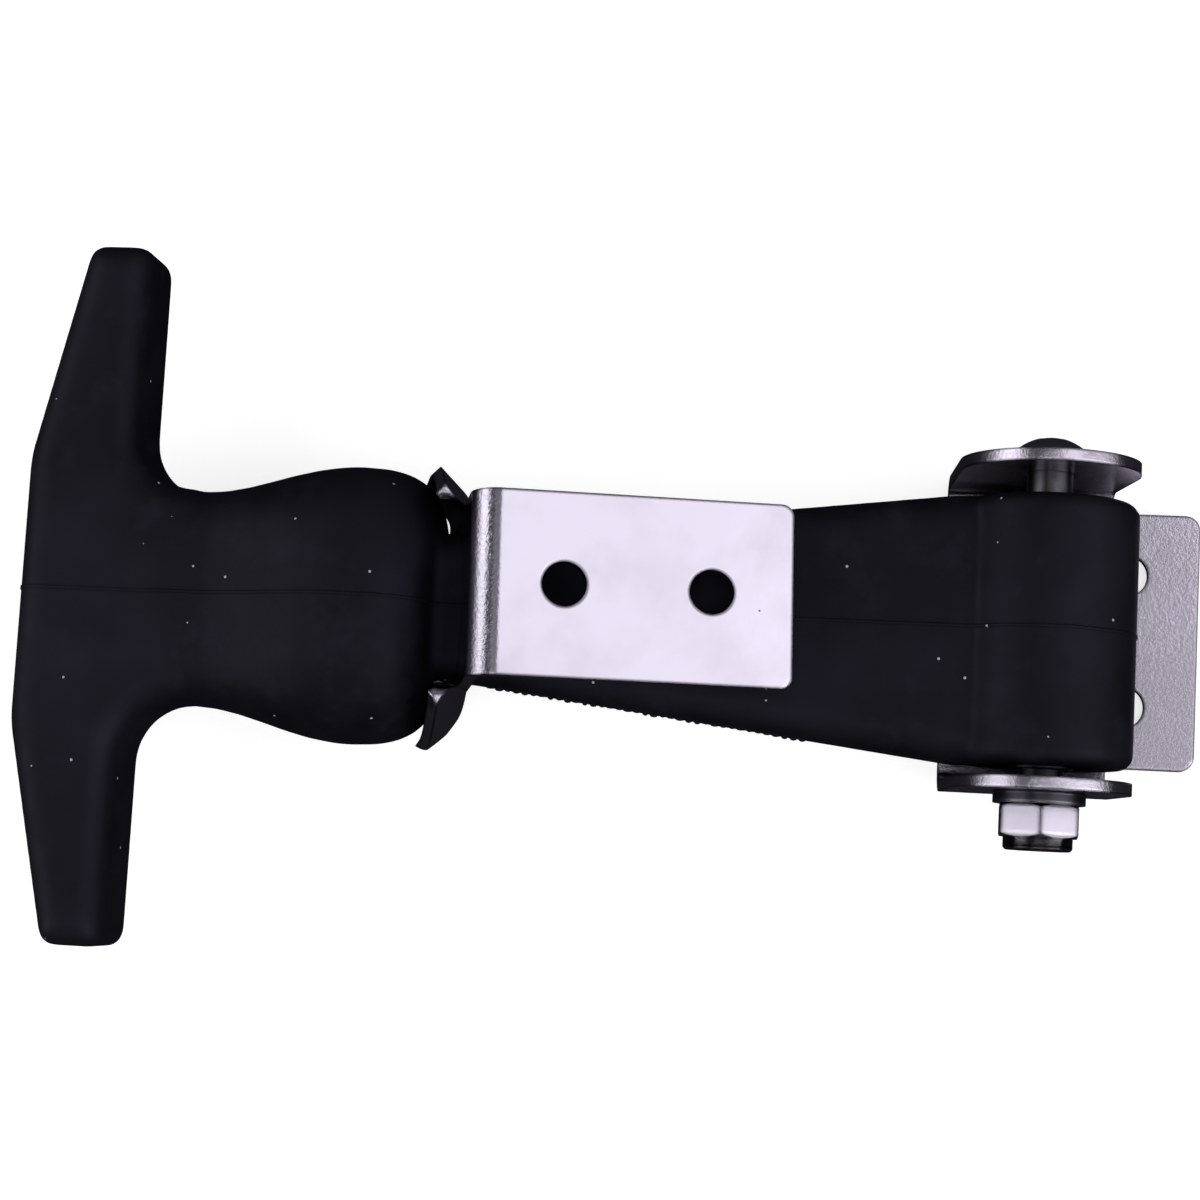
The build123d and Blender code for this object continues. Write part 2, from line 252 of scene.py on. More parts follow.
@dataclass(frozen=True)
class MouldedRubber:
    """Black EPDM from a steel mould: semi-matt, with a faint blue-grey bloom, scuffs and lint."""

    name: str = "moulded_epdm_rubber"
    body: str = "#09090c"
    bloom: str = "#1b1b24"
    lint: str = "#c8c8d2"
    sheen_tint: str = "#dcd6ff"
    sheen: float = 0.27
    bloom_size_mm: float = 26.0
    scuff_size_mm: float = 5.5
    grain_size_mm: float = 0.35
    lint_spacing_mm: float = 3.6
    lint_radius: float = 0.05
    lint_bare: float = 0.45

    def material(self) -> bpy.types.Material:
        """Builds the rubber: bloom in slow clouds, scuffs, a fine mould grain and sparse lint."""
        made, tree, shader, place = new_surface(self.name)
        clouds = noise(tree, place, self.bloom_size_mm, 3.0, Roughness=0.55)
        scuffs = noise(tree, place, self.scuff_size_mm, 6.0, Roughness=0.62)
        haze = ramp(tree, clouds, [(0.42, 0.0), (0.72, 1.0)])
        wear = ramp(tree, scuffs, [(0.5, 0.0), (0.78, 1.0)])
        cover = reckon(tree, "MAXIMUM", haze, wear)
        colour = blend(tree, cover, linear(self.body), linear(self.bloom))
        lint = specks(tree, place, self.lint_spacing_mm, self.lint_radius, self.lint_bare)
        colour = blend(tree, lint, colour, linear(self.lint))
        gloss = ramp(tree, scuffs, [(0.3, 0.5), (0.75, 0.66)])
        grain = relief(tree, noise(tree, place, self.grain_size_mm, 2.0), 0.12, 0.02)
        flow = relief(tree, clouds, 0.5, 0.5, under=grain)
        tree.links.new(colour, shader.inputs["Base Color"])
        tree.links.new(gloss, shader.inputs["Roughness"])
        tree.links.new(flow, shader.inputs["Normal"])
        shader.inputs["IOR"].default_value = 1.52
        shader.inputs["Specular IOR Level"].default_value = self.sheen
        shader.inputs["Specular Tint"].default_value = linear(self.sheen_tint)
        return made


@dataclass(frozen=True)
class PaintedLight:
    """Light and shade painted onto plating: a painted dark line along each edge, a painted highlight next
    to it and painted shade in the recesses.
    """

    # Painted light: a highlight next to each edge, shade along each edge, and shade in the recesses within
    # the reach below.
    painted_highlight: str = "#fdf8ff"
    painted_edge_shade: str = "#17161c"
    painted_recess_shade: str = "#0e0d11"
    recess_shade_reach_mm: float = 7.0
    samples: int = 6

    def mark(self, tree: bpy.types.NodeTree, colour: Any, edge_mm: float) -> tuple[Any, Any]:
        """Paints light and shade onto the plain metal: a highlight next to each edge, a dark line along
        each edge and shade in the recesses.

        Args:
            tree: the material's node tree.
            colour: the plain metal's colour socket.
            edge_mm: how wide the rounding of an edge looks.

        Returns:
            The marked colour's socket, and the normal with its edges rounded.
        """
        rounded = add_node(tree, "ShaderNodeBevel", {"Radius": edge_mm * MM})
        rounded.samples = self.samples
        flat = add_node(tree, "ShaderNodeNewGeometry")
        lean = add_node(
            tree,
            "ShaderNodeVectorMath",
            {0: rounded.outputs["Normal"], 1: flat.outputs["Normal"]},
            operation="DOT_PRODUCT",
        ).outputs["Value"]
        hidden = add_node(tree, "ShaderNodeAmbientOcclusion", {"Distance": self.recess_shade_reach_mm * MM})
        hidden.samples = self.samples
        # painted highlight in a band next to each edge
        highlight_band = ramp(tree, lean, [(0.965, 0.0), (0.975, 0.7), (0.99, 0.7), (0.998, 0.0)])
        # painted shade along each edge's rounding
        edge_shade_band = ramp(tree, lean, [(0.93, 0.95), (0.965, 0.0)])
        # painted shade in recesses and between parts, where the occlusion finds them
        recess_shade_band = ramp(tree, hidden.outputs["AO"], [(0.3, 0.93), (0.8, 0.0)])
        for factor, tone in ((highlight_band, self.painted_highlight), (edge_shade_band, self.painted_edge_shade), (recess_shade_band, self.painted_recess_shade)):
            colour = blend(tree, factor, colour, linear(tone))
        return colour, rounded.outputs["Normal"]


@dataclass(frozen=True)
class ZincPlate:
    """Bright zinc plating on steel: a cool, faintly lilac mirror over the metal's own grain."""

    name: str
    polish: Polish
    tone: str = "#e4dcef"
    dull_tone: str = "#c9c4d2"
    pit_tone: str = "#5b5866"
    haze_mm: float = 11.0
    ripple_mm: float = 2.4
    ripple_depth_mm: float = 0.3
    grain_mm: float = 0.5
    grain_depth_mm: float = 0.09
    pit_spacing_mm: float = 3.2
    pit_radius: float = 0.045
    pit_bare: float = 0.8
    # edge_mm also sets how wide the painted highlight and the painted edge shade run
    edge_mm: float = 0.6
    # painted highlight, painted edge shade and painted shade in recesses
    painted_light: PaintedLight = PaintedLight()
    worn_along: tuple[float, float, float] | None = None
    worn_from: float = 0.0
    worn_to: float = 0.0

    def _grain_strength(self, tree: bpy.types.NodeTree, place: Any, plain: float) -> Any:
        """How deep the grain is: the same all over, or deeper where the bend stretched the metal."""
        if self.worn_along is None:
            return plain
        along = add_node(
            tree, "ShaderNodeVectorMath", {0: place, 1: self.worn_along}, operation="DOT_PRODUCT"
        )
        share = add_node(
            tree,
            "ShaderNodeMapRange",
            {"Value": along.outputs["Value"], "From Min": self.worn_from, "From Max": self.worn_to},
        )
        across_bend = [(0.0, 0.3), (0.3, 0.95), (0.62, 0.85), (0.8, 0.3), (1.0, plain)]
        return ramp(tree, share.outputs["Result"], across_bend)

    def material(self) -> bpy.types.Material:
        """Builds the plating: ripple and grain in the relief, small pits, patches of haze, and painted
        light and shade at the edges and in the recesses.
        """
        levels = POLISH_LEVELS[self.polish]
        made, tree, shader, place = new_surface(self.name)
        haze = noise(tree, place, self.haze_mm, 5.0)
        grain = noise(tree, place, self.grain_mm, 3.0, Roughness=0.7)
        ripple = noise(tree, place, self.ripple_mm, 2.0)
        patches = ramp(tree, haze, [(0.45, 0.0), (0.8, 0.6)])
        colour = blend(tree, patches, linear(self.tone), linear(self.dull_tone))
        pits = specks(tree, place, self.pit_spacing_mm, self.pit_radius, self.pit_bare)
        colour = blend(tree, pits, colour, linear(self.pit_tone))
        # paints light and shade on: a highlight next to each edge, a dark line along each edge and shade in
        # the recesses
        colour, rounded = self.painted_light.mark(tree, colour, self.edge_mm)
        gloss = ramp(tree, haze, [(0.3, levels.low), (0.75, levels.high)])
        strength = self._grain_strength(tree, place, levels.grain)
        rolled = relief(tree, grain, strength, self.grain_depth_mm, under=rounded)
        waves = relief(tree, ripple, levels.ripple, self.ripple_depth_mm, under=rolled)
        shader.inputs["Metallic"].default_value = 1.0
        tree.links.new(colour, shader.inputs["Base Color"])
        tree.links.new(gloss, shader.inputs["Roughness"])
        tree.links.new(waves, shader.inputs["Normal"])
        return made


@dataclass(frozen=True)
class ShearedSteel:
    """The cut edge of stamped sheet: thinly plated, torn in fine lines across the thickness."""

    name: str = "sheared_steel_edge"
    bright: str = "#f0e9f8"
    torn: str = "#33303b"
    line_mm: float = 0.4
    line_depth_mm: float = 0.04
    patch_mm: float = 1.5
    roughness: float = 0.24

    def material(self) -> bpy.types.Material:
        """Builds the edge: streaks of torn and shear-polished metal."""
        made, tree, shader, place = new_surface(self.name)
        lines = noise(tree, place, self.line_mm, 4.0, Roughness=0.7)
        broad = noise(tree, place, self.patch_mm, 3.0)
        both = reckon(tree, "MULTIPLY", lines, broad)
        colour = ramp(tree, both, [(0.205, linear(self.torn)), (0.255, linear(self.bright))])
        shader.inputs["Metallic"].default_value = 1.0
        shader.inputs["Roughness"].default_value = self.roughness
        tree.links.new(colour, shader.inputs["Base Color"])
        tree.links.new(relief(tree, lines, 0.4, self.line_depth_mm), shader.inputs["Normal"])
        return made


@dataclass(frozen=True)
class NaturalNylon:
    """Undyed nylon 6 of the lock nut's ring: milky, slightly warm, satin."""

    name: str = "natural_nylon"
    tone: str = "#cfcdc4"
    shade: str = "#bdbab0"
    mottle_mm: float = 1.2

    def material(self) -> bpy.types.Material:
        """Builds the nylon with a faint mottling."""
        made, tree, shader, place = new_surface(self.name)
        mottle = noise(tree, place, self.mottle_mm, 3.0)
        colour = ramp(tree, mottle, [(0.35, linear(self.shade)), (0.65, linear(self.tone))])
        tree.links.new(colour, shader.inputs["Base Color"])
        shader.inputs["Roughness"].default_value = 0.42
        shader.inputs["IOR"].default_value = 1.53
        return made


# ------------------------------------------------------------------ meshes from the frame
def welded_copy(node: str) -> bpy.types.Mesh:
    """A CAD node's mesh with its loose triangles merged.

    Args:
        node: the CAD node's name.

    Returns:
        A new mesh in the row frame.
    """
    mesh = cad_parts[node].data.copy()
    mesh.name = node + "_dressed"
    work = bmesh.new()
    work.from_mesh(mesh)
    bmesh.ops.remove_doubles(work, verts=work.verts, dist=0.002 * MM)
    work.to_mesh(mesh)
    work.free()
    mesh.materials.clear()
    return mesh


def frozen(source: bpy.types.Object, name: str) -> bpy.types.Object:
    """Turns an object's evaluated result into a plain mesh object and removes the source.

    Args:
        source: the object with its modifiers live.
        name: the name of the plain piece.

    Returns:
        The plain piece, at the origin.
    """
    bpy.context.view_layer.update()
    graph = bpy.context.evaluated_depsgraph_get()
    seen = source.evaluated_get(graph)
    mesh = bpy.data.meshes.new_from_object(seen, preserve_all_data_layers=True, depsgraph=graph)
    mesh.name = name
    bpy.data.objects.remove(source)
    return link_object(name, mesh)


def grown(name: str, start: bpy.types.Mesh, tree: bpy.types.NodeTree, values: dict[str, Any]) -> Any:
    """Runs a geometry tree on a mesh and returns the result as a plain piece.

    Args:
        name: the piece's name.
        start: the mesh that the tree starts from.
        tree: the geometry tree.
        values: the tree's named inputs.

    Returns:
        The plain piece.
    """
    source = link_object(name + "_source", start)
    modifier = source.modifiers.new("grow", "NODES")
    modifier.node_group = tree
    for item in tree.interface.items_tree:
        if item.item_type == "SOCKET" and item.in_out == "INPUT" and item.name in values:
            modifier[item.identifier] = values[item.name]
    return frozen(source, name)


def new_tree(name: str, inputs: list[tuple[str, str, Any]]) -> tuple[Any, Any, Any]:
    """Starts a geometry tree with named inputs.

    Args:
        name: the tree's name.
        inputs: each input's name, socket type and first value.

    Returns:
        The tree, its input node and its output node.
    """
    tree = bpy.data.node_groups.new(name, "GeometryNodeTree")
    tree.interface.new_socket("Geometry", in_out="INPUT", socket_type="NodeSocketGeometry")
    for label, kind, value in inputs:
        socket = tree.interface.new_socket(label, in_out="INPUT", socket_type=kind)
        if value is not None:
            socket.default_value = value
    tree.interface.new_socket("Geometry", in_out="OUTPUT", socket_type="NodeSocketGeometry")
    return tree, add_node(tree, "NodeGroupInput"), add_node(tree, "NodeGroupOutput")


def finish_tree(tree: Any, geometry: Any, material: Any, output: Any) -> None:
    """Ends a tree in Realize Instances and Set Material."""
    real = add_node(tree, "GeometryNodeRealizeInstances", {"Geometry": geometry})
    coat = add_node(
        tree, "GeometryNodeSetMaterial", {"Geometry": real.outputs["Geometry"], "Material": material}
    )
    tree.links.new(coat.outputs["Geometry"], output.inputs[0])


def break_edges(source: bpy.types.Object, width: float, sharp: float) -> None:
    """Rounds a part's sharp edges a little and keeps its flat faces flat in shading.

    Args:
        source: the object with the merged CAD mesh.
        width: how far the rounding reaches from an edge.
        sharp: the angle past which an edge is one.
    """
    smooth(source.data)
    bevel = source.modifiers.new("edge_break", "BEVEL")
    bevel.width = width
    bevel.segments = 2
    bevel.limit_method = "ANGLE"
    bevel.angle_limit = sharp
    bevel.use_clamp_overlap = True
    shading = source.modifiers.new("flat_faces", "WEIGHTED_NORMAL")
    shading.mode = "FACE_AREA_WITH_ANGLE"
    shading.weight = 100


def smooth(mesh: bpy.types.Mesh) -> None:
    """Sets every face of a mesh to smooth shading."""
    mesh.polygons.foreach_set("use_smooth", [True] * len(mesh.polygons))


# ------------------------------------------------------------------ sheet metal
@dataclass
class SheetPiece:
    """A pressed bracket: the CAD sheet with broken edges, plated skin and sheared rims."""

    node: str
    body: str
    slot: str
    is_rim: Callable[[Vector, Vector], bool]
    edge_break: float = 0.36 * MM
    sharp_angle: float = radians(34)
    trim: Callable[[bpy.types.Object], bpy.types.Object] | None = None
    name: str = field(init=False)

    def __post_init__(self) -> None:
        """Names the dressed piece after its node."""
        self.name = self.node + "_plated"

    def build(self) -> bpy.types.Object:
        """Makes the sheet with its sheared rims marked and its sharp edges broken.

        Returns:
            The plain piece, not yet dressed.
        """
        mesh = welded_copy(self.node)
        for face in mesh.polygons:
            face.material_index = 1 if self.is_rim(face.center, face.normal) else 0
        source = link_object(self.name + "_source", mesh)
        if self.trim:
            source = self.trim(source)
        break_edges(source, self.edge_break, self.sharp_angle)
        return frozen(source, self.name)

    def dress(self, piece: bpy.types.Object, skin: Any, rim: Any) -> None:
        """Gives the piece its two finishes and its place on the frame."""
        piece.data.materials.clear()
        piece.data.materials.append(skin)
        piece.data.materials.append(rim)
        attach(piece, self.body)
        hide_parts(self.node)


@dataclass(frozen=True)
class KeeperAxes:
    """The keeper's own directions, from how it hangs on the handle's neck."""

    tilt: float = radians(15.0)
    roll: float = radians(4.0)
    yaw: float = radians(2.0)
    slot_x: float = -90.0 * MM
    slot_z: float = 15.87 * MM
    flange_half: float = 12.0 * MM
    fork_radius: float = 19.03 * MM
    fork_start: float = radians(-75)
    fork_steps: int = 28
    tip_radius: float = 1.6 * MM
    corner_steps: int = 8
    blank_clearance: float = 0.03 * MM
    flange_drop: float = 14.0 * MM

    @property
    def along(self) -> Vector:
        """Along the flange, from the bend to its free end."""
        level = Vector((cos(self.tilt), -sin(self.tilt) * sin(self.roll), -sin(self.tilt) * cos(self.roll)))
        return Matrix.Rotation(self.yaw, 3, "Z") @ level

    @property
    def across(self) -> Vector:
        """Across the flange."""
        level = Vector((0.0, cos(self.roll), -sin(self.roll)))
        return Matrix.Rotation(self.yaw, 3, "Z") @ level

    @property
    def up(self) -> Vector:
        """Out of the flange's face."""
        return self.along.cross(self.across)

    @property
    def slot_centre(self) -> Vector:
        """The middle of the slot's round, level with the handle's middle."""
        low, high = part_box("t_handle")
        return Vector((self.slot_x, (low.y + high.y) / 2, self.slot_z))

    def blank_outline(self) -> list[tuple[float, float]]:
        """The keeper's blank, seen along the flange: a round fork, and straight sides at the flange.

        Returns:
            Points across and up from the slot's middle, all the way round.
        """
        corner = self.tip_radius
        inner = self.flange_half + self.blank_clearance
        across = inner + corner
        rise = ((self.fork_radius - corner) ** 2 - across**2) ** 0.5
        start, stop = self.fork_start, Vector((across, rise)).angle(Vector((1.0, 0.0)))
        side = []
        for step in range(self.fork_steps + 1):
            turn = start + (stop - start) * step / self.fork_steps
            side.append((self.fork_radius * cos(turn), self.fork_radius * sin(turn)))
        for step in range(1, self.corner_steps + 1):
            turn = stop + (pi - stop) * step / self.corner_steps
            side.append((across + corner * cos(turn), rise + corner * sin(turn)))
        side.append((inner, self.fork_radius * 2))
        return side + [(-v, w) for v, w in reversed(side)]

    def build_blank(self) -> bpy.types.Object:
        """A block of the blank's outline that runs the keeper's whole length.

        Returns:
            The block, which cuts the keeper and is then removed.
        """
        outline = self.blank_outline()
        count = len(outline)
        points = []
        for reach in (-self.fork_radius, 3 * self.fork_radius):
            middle = self.slot_centre + self.along * reach
            points += [middle + self.across * v + self.up * w for v, w in outline]
        faces = [tuple(range(count))[::-1], tuple(range(count, 2 * count))]
        faces += [(i, (i + 1) % count, count + (i + 1) % count, count + i) for i in range(count)]
        mesh = bpy.data.meshes.new("fork_blank")
        mesh.from_pydata(points, [], faces)
        work = bmesh.new()
        work.from_mesh(mesh)
        bmesh.ops.recalc_face_normals(work, faces=work.faces)
        work.to_mesh(mesh)
        work.free()
        return link_object("fork_blank", mesh)

    def trim_fork(self, source: bpy.types.Object) -> bpy.types.Object:
        """Rounds the fork's flared rim: the blank is cut on a circle, with rounded corners.

        Args:
            source: the keeper, before its edges are broken.

        Returns:
            The trimmed keeper.
        """
        blank = self.build_blank()
        cut = source.modifiers.new("fork_blank", "BOOLEAN")
        cut.operation = "INTERSECT"
        cut.solver = "EXACT"
        cut.object = blank
        plain = frozen(source, "keeper_trimmed")
        bpy.data.objects.remove(blank)
        return plain

    def is_rim(self, centre: Vector, normal: Vector) -> bool:
        """Tells the sheet's cut edges from its faces.

        Args:
            centre: a face's centre.
            normal: its normal.

        Returns:
            True on the flange's sides and tip, the fork's flared rim and its slot.
        """
        _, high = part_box("keeper_bracket")
        fork_level = high.z - self.flange_drop
        if centre.z > fork_level and abs(normal.dot(self.up)) < 0.7:
            return abs(normal.dot(self.across)) > 0.6 or normal.dot(self.along) > 0.6
        below_flange = high.dot(self.up) > centre.dot(self.up)
        return below_flange and abs(normal.dot(self.along)) < 0.7 and centre.z < fork_level


def base_rim(centre: Vector, normal: Vector) -> bool:
    """True on the base bracket's cut edges: the ears' round tops and the tab's and web's sides."""
    bend_top = 2.9 * MM
    ear_side = 20.0 * MM
    if centre.z > bend_top:
        return abs(normal.y) < 0.5
    return abs(normal.z) < 0.5 and (abs(normal.x) > 0.5 or abs(centre.y) < ear_side)


# ------------------------------------------------------------------ fasteners
@dataclass
class PivotHardware:
    """The bolt, washer, lock nut with its ring, and the sleeve, with the bolt's rolled thread."""

    thread_pitch: float = 1.0 * MM
    thread_start: float = -19.2 * MM
    thread_end: float = -28.0 * MM
    thread_sink: float = 0.15 * MM
    thread_ridge: float = 0.24 * MM
    shank_radius: float = 3.0 * MM
    edge_break: float = 0.12 * MM
    sharp_angle: float = radians(28)

    def build_turned(self, node: str) -> bpy.types.Object:
        """A turned or headed part with its sharp edges broken.

        Args:
            node: the CAD node's name.

        Returns:
            The plain piece.
        """
        source = link_object(node + "_source", welded_copy(node))
        break_edges(source, self.edge_break, self.sharp_angle)
        return frozen(source, node + "_finished")

    def build_thread(self, metal: bpy.types.Material) -> bpy.types.Object:
        """The rolled thread on the bolt's end: a ridge wound along the shank.

        Args:
            metal: the bolt's finish.

        Returns:
            The plain piece.
        """
        low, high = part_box("pivot_bolt")
        centre = (low + high) / 2
        tree, given, output = new_tree(
            "rolled_thread",
            [
                ("Turns", "NodeSocketFloat", 8.0),
                ("Radius", "NodeSocketFloat", 0.003),
                ("Length", "NodeSocketFloat", 0.008),
                ("Ridge", "NodeSocketFloat", 0.0003),
                ("Place", "NodeSocketVector", None),
                ("Metal", "NodeSocketMaterial", None),
            ],
        )
        helix = add_node(
            tree,
            "GeometryNodeCurveSpiral",
            {
                "Resolution": 28,
                "Rotations": given.outputs["Turns"],
                "Start Radius": given.outputs["Radius"],
                "End Radius": given.outputs["Radius"],
                "Height": given.outputs["Length"],
            },
        )
        ridge = add_node(
            tree,
            "GeometryNodeCurvePrimitiveCircle",
            {"Resolution": 4, "Radius": given.outputs["Ridge"]},
            mode="RADIUS",
        )
        swept = add_node(
            tree,
            "GeometryNodeCurveToMesh",
            {"Curve": helix.outputs["Curve"], "Profile Curve": ridge.outputs["Curve"], "Fill Caps": True},
        )
        laid = add_node(
            tree,
            "GeometryNodeTransform",
            {
                "Geometry": swept.outputs["Mesh"],
                "Translation": given.outputs["Place"],
                "Rotation": (pi / 2, 0.0, 0.0),
            },
        )
        finish_tree(tree, laid.outputs["Geometry"], given.outputs["Metal"], output)
        length = self.thread_start - self.thread_end
        values = {
            "Turns": length / self.thread_pitch,
            "Radius": self.shank_radius - self.thread_sink,
            "Length": length,
            "Ridge": self.thread_ridge,
            "Place": (centre.x, self.thread_start, centre.z),
            "Metal": metal,
        }
        return grown("rolled_thread", bpy.data.meshes.new("thread_start"), tree, values)

    def dress(self, piece: bpy.types.Object, metal: Any, body: str, slot: str, node: str | None) -> None:
        """Gives a fastener its finish and its place on the frame."""
        piece.data.materials.clear()
        piece.data.materials.append(metal)
        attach(piece, body)
        if node:
            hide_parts(node)


# ------------------------------------------------------------------ rubber moulding
@dataclass
class RubberHandle:
    """The rubber T-handle with softened corners, its mould's parting flash and trimmed flash."""

    voxel: float = 0.55 * MM
    soften_passes: int = 9
    flash_width: float = 0.42 * MM
    flash_height: float = 0.3 * MM
    flash_step: float = 0.7 * MM
    flash_wander: float = 0.22 * MM
    flash_seed: float = 3.0
    bore_reach: float = 5.5 * MM
    bead_spacing: float = 1.15 * MM
    bead_size: float = 0.55 * MM
    bead_seed: int = 11
    bead_least: tuple[float, float, float] = (0.7, 0.35, 0.7)
    bead_most: tuple[float, float, float] = (1.25, 0.8, 2.2)
    pivot_x: float = -11.6 * MM
    pivot_z: float = 15.5 * MM
    strap_root: float = 12.0 * MM
    strap_neck: float = 75.3 * MM
    root_half: float = 17.4 * MM
    neck_half: float = 9.9 * MM
    trimmed_from: float = 0.3
    trimmed_share: float = 0.66
    trimmed_steps: int = 24

    def build_body(self) -> bpy.types.Object:
        """The moulding itself, remeshed and relaxed so that its inner corners run soft.

        Returns:
            The plain piece.
        """
        mesh = welded_copy("t_handle")
        source = link_object("rubber_moulding_source", mesh)
        remesh = source.modifiers.new("skin", "REMESH")
        remesh.mode = "VOXEL"
        remesh.voxel_size = self.voxel
        remesh.use_smooth_shade = True
        relax = source.modifiers.new("soften", "SMOOTH")
        relax.factor = 0.5
        relax.iterations = self.soften_passes
        return frozen(source, "rubber_moulding")

    def parting_loop(self, mesh: bpy.types.Mesh, level: float) -> bpy.types.Mesh:
        """The outline where the mould's halves met: the body cut along its middle.

        Args:
            mesh: the moulding's mesh.
            level: the y of the parting plane.

        Returns:
            A mesh of edges, with the sleeve's bore left out.
        """
        work = bmesh.new()
        work.from_mesh(mesh)
        cut = bmesh.ops.bisect_plane(
            work,
            geom=work.verts[:] + work.edges[:] + work.faces[:],
            plane_co=Vector((0.0, level, 0.0)),
            plane_no=Vector((0.0, 1.0, 0.0)),
        )["geom_cut"]
        edges = [e for e in cut if isinstance(e, bmesh.types.BMEdge)]
        low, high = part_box("pivot_bolt")
        pivot = (low + high) / 2
        outline = bmesh.new()
        made: dict[int, Any] = {}
        for edge in edges:
            middle = (edge.verts[0].co + edge.verts[1].co) / 2
            if (middle.xz - pivot.xz).length < self.bore_reach:
                continue
            ends = []
            for vert in edge.verts:
                if vert.index not in made:
                    made[vert.index] = outline.verts.new(vert.co)
                ends.append(made[vert.index])
            if ends[0] is not ends[1] and outline.edges.get(ends) is None:
                outline.edges.new(ends)
        work.free()
        loop = bpy.data.meshes.new("parting_loop")
        outline.to_mesh(loop)
        outline.free()
        return loop

    def build_flash(self, body: bpy.types.Object, rubber: bpy.types.Material) -> bpy.types.Object:
        """The raised parting line all round the moulding's middle.

        Args:
            body: the moulding.
            rubber: its finish.

        Returns:
            The plain piece.
        """
        low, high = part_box("t_handle")
        loop = self.parting_loop(body.data, (low.y + high.y) / 2)
        tree, given, output = new_tree(
            "parting_flash",
            [
                ("Width", "NodeSocketFloat", 0.001),
                ("Height", "NodeSocketFloat", 0.001),
                ("Step", "NodeSocketFloat", 0.001),
                ("Wander", "NodeSocketFloat", 0.0),
                ("Seed", "NodeSocketFloat", 0.0),
                ("Rubber", "NodeSocketMaterial", None),
            ],
        )
        path = add_node(tree, "GeometryNodeMeshToCurve", {"Mesh": given.outputs["Geometry"]})
        even = add_node(
            tree,
            "GeometryNodeResampleCurve",
            {"Curve": path.outputs["Curve"], "Length": given.outputs["Step"]},
            mode="LENGTH",
        )
        stray = add_node(
            tree,
            "ShaderNodeTexNoise",
            {"Scale": per_mm(2.0), "W": given.outputs["Seed"], "Detail": 2.0},
            noise_dimensions="4D",
        )
        centred = reckon(tree, "SUBTRACT", stray.outputs["Fac"], 0.5)
        drift = reckon(tree, "MULTIPLY", centred, given.outputs["Wander"])
        sideways = add_node(tree, "ShaderNodeCombineXYZ", {"Y": drift})
        moved = add_node(
            tree,
            "GeometryNodeSetPosition",
            {"Geometry": even.outputs["Curve"], "Offset": sideways.outputs["Vector"]},
        )
        turned = add_node(
            tree,
            "GeometryNodeSetCurveNormal",
            {"Curve": moved.outputs["Geometry"], "Normal": (0.0, 1.0, 0.0)},
            mode="FREE",
        )
        strip = add_node(
            tree,
            "GeometryNodeCurvePrimitiveQuadrilateral",
            {"Width": given.outputs["Width"], "Height": given.outputs["Height"]},
        )
        swept = add_node(
            tree,
            "GeometryNodeCurveToMesh",
            {"Curve": turned.outputs["Curve"], "Profile Curve": strip.outputs["Curve"], "Fill Caps": True},
        )
        finish_tree(tree, swept.outputs["Mesh"], given.outputs["Rubber"], output)
        values = {
            "Width": self.flash_width,
            "Height": self.flash_height,
            "Step": self.flash_step,
            "Wander": self.flash_wander,
            "Seed": self.flash_seed,
            "Rubber": rubber,
        }
        return grown("parting_flash", loop, tree, values)

    def strap_side(self) -> bpy.types.Mesh:
        """The line along the strap's nut-side wall where flash was trimmed by hand.

        Returns:
            A mesh of one line, a little inside the wall.
        """
        low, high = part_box("t_handle")
        eye_y = (low.y + high.y) / 2
        points = []
        for step in range(self.trimmed_steps + 1):
            share = self.trimmed_from + self.trimmed_share * step / self.trimmed_steps
            reach = self.strap_root + (self.strap_neck - self.strap_root) * share
            half = self.root_half + (self.neck_half - self.root_half) * share
            points.append((self.pivot_x - reach, eye_y - half, self.pivot_z))
        line = bpy.data.meshes.new("strap_side")
        line.from_pydata(points, [(i, i + 1) for i in range(len(points) - 1)], [])
        return line

    def build_beads(self, rubber: bpy.types.Material) -> bpy.types.Object:
        """The ragged beads of flash left along the strap's nut-side wall.

        Args:
            rubber: the moulding's finish.

        Returns:
            The plain piece.
        """
        tree, given, output = new_tree(
            "trimmed_flash",
            [
                ("Spacing", "NodeSocketFloat", 0.001),
                ("Size", "NodeSocketFloat", 0.001),
                ("Seed", "NodeSocketInt", 0),
                ("Rubber", "NodeSocketMaterial", None),
            ],
        )
        path = add_node(tree, "GeometryNodeMeshToCurve", {"Mesh": given.outputs["Geometry"]})
        dots = add_node(
            tree,
            "GeometryNodeCurveToPoints",
            {"Curve": path.outputs["Curve"], "Length": given.outputs["Spacing"]},
            mode="LENGTH",
        )
        bead = add_node(
            tree,
            "GeometryNodeMeshIcoSphere",
            {"Radius": given.outputs["Size"], "Subdivisions": 2},
        )
        size = add_node(
            tree,
            "FunctionNodeRandomValue",
            {"Seed": given.outputs["Seed"]},
            data_type="FLOAT_VECTOR",
        )
        size.inputs[0].default_value = self.bead_least
        size.inputs[1].default_value = self.bead_most
        set_out = add_node(
            tree,
            "GeometryNodeInstanceOnPoints",
            {"Points": dots.outputs["Points"], "Instance": bead.outputs["Mesh"], "Scale": size.outputs[0]},
        )
        finish_tree(tree, set_out.outputs["Instances"], given.outputs["Rubber"], output)
        values = {
            "Spacing": self.bead_spacing,
            "Size": self.bead_size,
            "Seed": self.bead_seed,
            "Rubber": rubber,
        }
        return grown("trimmed_flash", self.strap_side(), tree, values)

    def dress(self, piece: bpy.types.Object, rubber: bpy.types.Material, body: bool) -> None:
        """Gives a rubber piece its finish and its place on the handle; the body replaces the CAD node."""
        piece.data.materials.clear()
        piece.data.materials.append(rubber)
        smooth(piece.data)
        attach(piece, "handle")
        if body:
            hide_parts("t_handle")


# ------------------------------------------------------------------ studio
Bands = tuple[tuple[float, float], ...]


